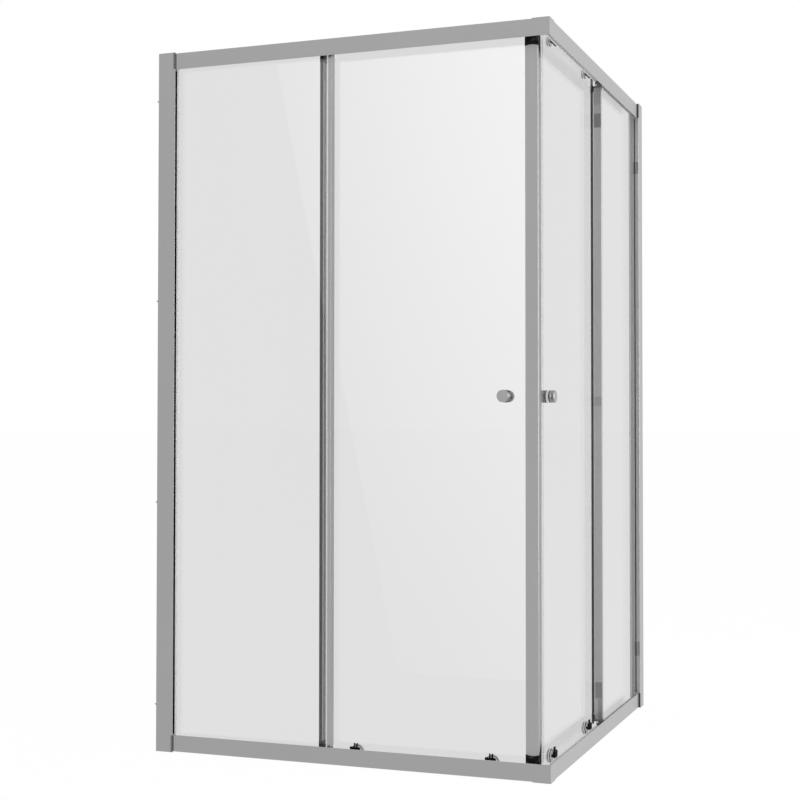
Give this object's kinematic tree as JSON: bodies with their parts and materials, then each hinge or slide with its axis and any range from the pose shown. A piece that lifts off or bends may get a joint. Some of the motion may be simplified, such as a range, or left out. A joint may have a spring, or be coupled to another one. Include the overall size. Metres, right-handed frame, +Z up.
{
  "type": "corner shower enclosure",
  "caption": "Square corner entry shower enclosure with fixed glass panels, sliding glass doors on rollers and aluminium frame for two walls.",
  "frame": {"origin": "centre of the bounding box seen from above, at the level of the floor or tray", "axes": "+Z up; the front faces -Y and the side faces +X, so the open corner is at +X -Y and the room walls are at -X and +Y"},
  "size_m": [1.126, 1.105, 1.9],
  "materials": {
    "satin_aluminium": "satin anodised",
    "channel_aluminium": "mill finish",
    "clear_glass": "polished safety glass",
    "black_rubber": "matt",
    "clear_seal": "clear flexible",
    "black_plastic": "fine matt",
    "polished_chrome": "polished",
    "grey_plastic": "fine matt",
    "steel_screws": "plain"
  },
  "bodies": {
    "frame": {"front_wall_channel": "channel_aluminium", "front_jamb": "satin_aluminium", "front_top_rail": "satin_aluminium", "front_bottom_rail": "satin_aluminium", "front_fixed_glass": "clear_glass", "front_glazing_gasket": "black_rubber", "front_end_profile": "satin_aluminium", "front_end_seal": "black_rubber", "front_end_clips": "grey_plastic", "side_wall_channel": "channel_aluminium", "side_jamb": "satin_aluminium", "side_top_rail": "satin_aluminium", "side_bottom_rail": "satin_aluminium", "side_fixed_glass": "clear_glass", "side_glazing_gasket": "black_rubber", "side_end_profile": "satin_aluminium", "side_end_seal": "black_rubber", "side_end_clips": "grey_plastic", "top_corner_bracket": "satin_aluminium", "bottom_corner_bracket": "satin_aluminium", "frame_screws": "steel_screws", "jamb_screws": "steel_screws", "wall_screws": "steel_screws", "door_stops": "black_rubber"},
    "front_door": {"front_door_glass": "clear_glass", "front_closing_stile": "satin_aluminium", "front_door_end_caps": "black_plastic", "front_magnet_strip": "clear_seal", "front_tail_profile": "satin_aluminium", "front_tail_seal": "black_rubber", "front_outer_knob": "polished_chrome", "front_inner_knob": "polished_chrome", "front_knob_stud": "black_plastic", "front_top_carriers": "polished_chrome", "front_bottom_carriers": "black_plastic", "front_roller_caps": "polished_chrome"},
    "side_door": {"side_door_glass": "clear_glass", "side_door_end_caps": "black_plastic", "side_magnet_strip": "clear_seal", "side_tail_profile": "satin_aluminium", "side_tail_seal": "black_rubber", "side_outer_knob": "polished_chrome", "side_inner_knob": "polished_chrome", "side_knob_stud": "black_plastic", "side_top_carriers": "polished_chrome", "side_bottom_carriers": "black_plastic", "side_roller_caps": "polished_chrome"},
    "front_top_wheel_near": {"front_top_wheel_near": "black_plastic"},
    "front_release_near": {"front_release_near": "polished_chrome"},
    "front_bottom_wheel_near": {"front_bottom_wheel_near": "black_plastic"},
    "front_top_wheel_far": {"front_top_wheel_far": "black_plastic"},
    "front_release_far": {"front_release_far": "polished_chrome"},
    "front_bottom_wheel_far": {"front_bottom_wheel_far": "black_plastic"},
    "side_top_wheel_near": {"side_top_wheel_near": "black_plastic"},
    "side_release_near": {"side_release_near": "polished_chrome"},
    "side_bottom_wheel_near": {"side_bottom_wheel_near": "black_plastic"},
    "side_top_wheel_far": {"side_top_wheel_far": "black_plastic"},
    "side_release_far": {"side_release_far": "polished_chrome"},
    "side_bottom_wheel_far": {"side_bottom_wheel_far": "black_plastic"}
  },
  "joints": [
    {"name": "front_door_slide", "type": "slide", "parent": "frame", "child": "front_door", "axis": [-1, 0, 0], "range_m": [0, 0.408]},
    {"name": "side_door_slide", "type": "slide", "parent": "frame", "child": "side_door", "axis": [0, 1, 0], "range_m": [0, 0.387]},
    {"name": "front_top_wheel_near_spin", "type": "hinge", "parent": "front_door", "child": "front_top_wheel_near", "pos_m": [0.393, -0.518, 1.884], "axis": [0, 1, 0], "continuous": true},
    {"name": "front_release_near_press", "type": "slide", "parent": "front_door", "child": "front_release_near", "axis": [0, 0, -1], "range_m": [0, 0.003], "stiffness_N_per_m": 900, "springref_m": -0.004},
    {"name": "front_bottom_wheel_near_spin", "type": "hinge", "parent": "front_release_near", "child": "front_bottom_wheel_near", "pos_m": [0.393, -0.518, 0.016], "axis": [0, 1, 0], "continuous": true},
    {"name": "front_top_wheel_far_spin", "type": "hinge", "parent": "front_door", "child": "front_top_wheel_far", "pos_m": [0.023, -0.518, 1.884], "axis": [0, 1, 0], "continuous": true},
    {"name": "front_release_far_press", "type": "slide", "parent": "front_door", "child": "front_release_far", "axis": [0, 0, -1], "range_m": [0, 0.003], "stiffness_N_per_m": 900, "springref_m": -0.004},
    {"name": "front_bottom_wheel_far_spin", "type": "hinge", "parent": "front_release_far", "child": "front_bottom_wheel_far", "pos_m": [0.023, -0.518, 0.016], "axis": [0, 1, 0], "continuous": true},
    {"name": "side_top_wheel_near_spin", "type": "hinge", "parent": "side_door", "child": "side_top_wheel_near", "pos_m": [0.5285, -0.3825, 1.884], "axis": [1, 0, 0], "continuous": true},
    {"name": "side_release_near_press", "type": "slide", "parent": "side_door", "child": "side_release_near", "axis": [0, 0, -1], "range_m": [0, 0.003], "stiffness_N_per_m": 900, "springref_m": -0.004},
    {"name": "side_bottom_wheel_near_spin", "type": "hinge", "parent": "side_release_near", "child": "side_bottom_wheel_near", "pos_m": [0.5285, -0.3825, 0.016], "axis": [1, 0, 0], "continuous": true},
    {"name": "side_top_wheel_far_spin", "type": "hinge", "parent": "side_door", "child": "side_top_wheel_far", "pos_m": [0.5285, -0.0125, 1.884], "axis": [1, 0, 0], "continuous": true},
    {"name": "side_release_far_press", "type": "slide", "parent": "side_door", "child": "side_release_far", "axis": [0, 0, -1], "range_m": [0, 0.003], "stiffness_N_per_m": 900, "springref_m": -0.004},
    {"name": "side_bottom_wheel_far_spin", "type": "hinge", "parent": "side_release_far", "child": "side_bottom_wheel_far", "pos_m": [0.5285, -0.0125, 0.016], "axis": [1, 0, 0], "continuous": true}
  ],
  "couplings": [
    {"joint": "front_top_wheel_near_spin", "follows": "front_door_slide", "rad_per_m": -125},
    {"joint": "front_bottom_wheel_near_spin", "follows": "front_door_slide", "rad_per_m": 125},
    {"joint": "front_top_wheel_far_spin", "follows": "front_door_slide", "rad_per_m": -125},
    {"joint": "front_bottom_wheel_far_spin", "follows": "front_door_slide", "rad_per_m": 125},
    {"joint": "side_top_wheel_near_spin", "follows": "side_door_slide", "rad_per_m": -125},
    {"joint": "side_bottom_wheel_near_spin", "follows": "side_door_slide", "rad_per_m": 125},
    {"joint": "side_top_wheel_far_spin", "follows": "side_door_slide", "rad_per_m": -125},
    {"joint": "side_bottom_wheel_far_spin", "follows": "side_door_slide", "rad_per_m": 125}
  ]
}
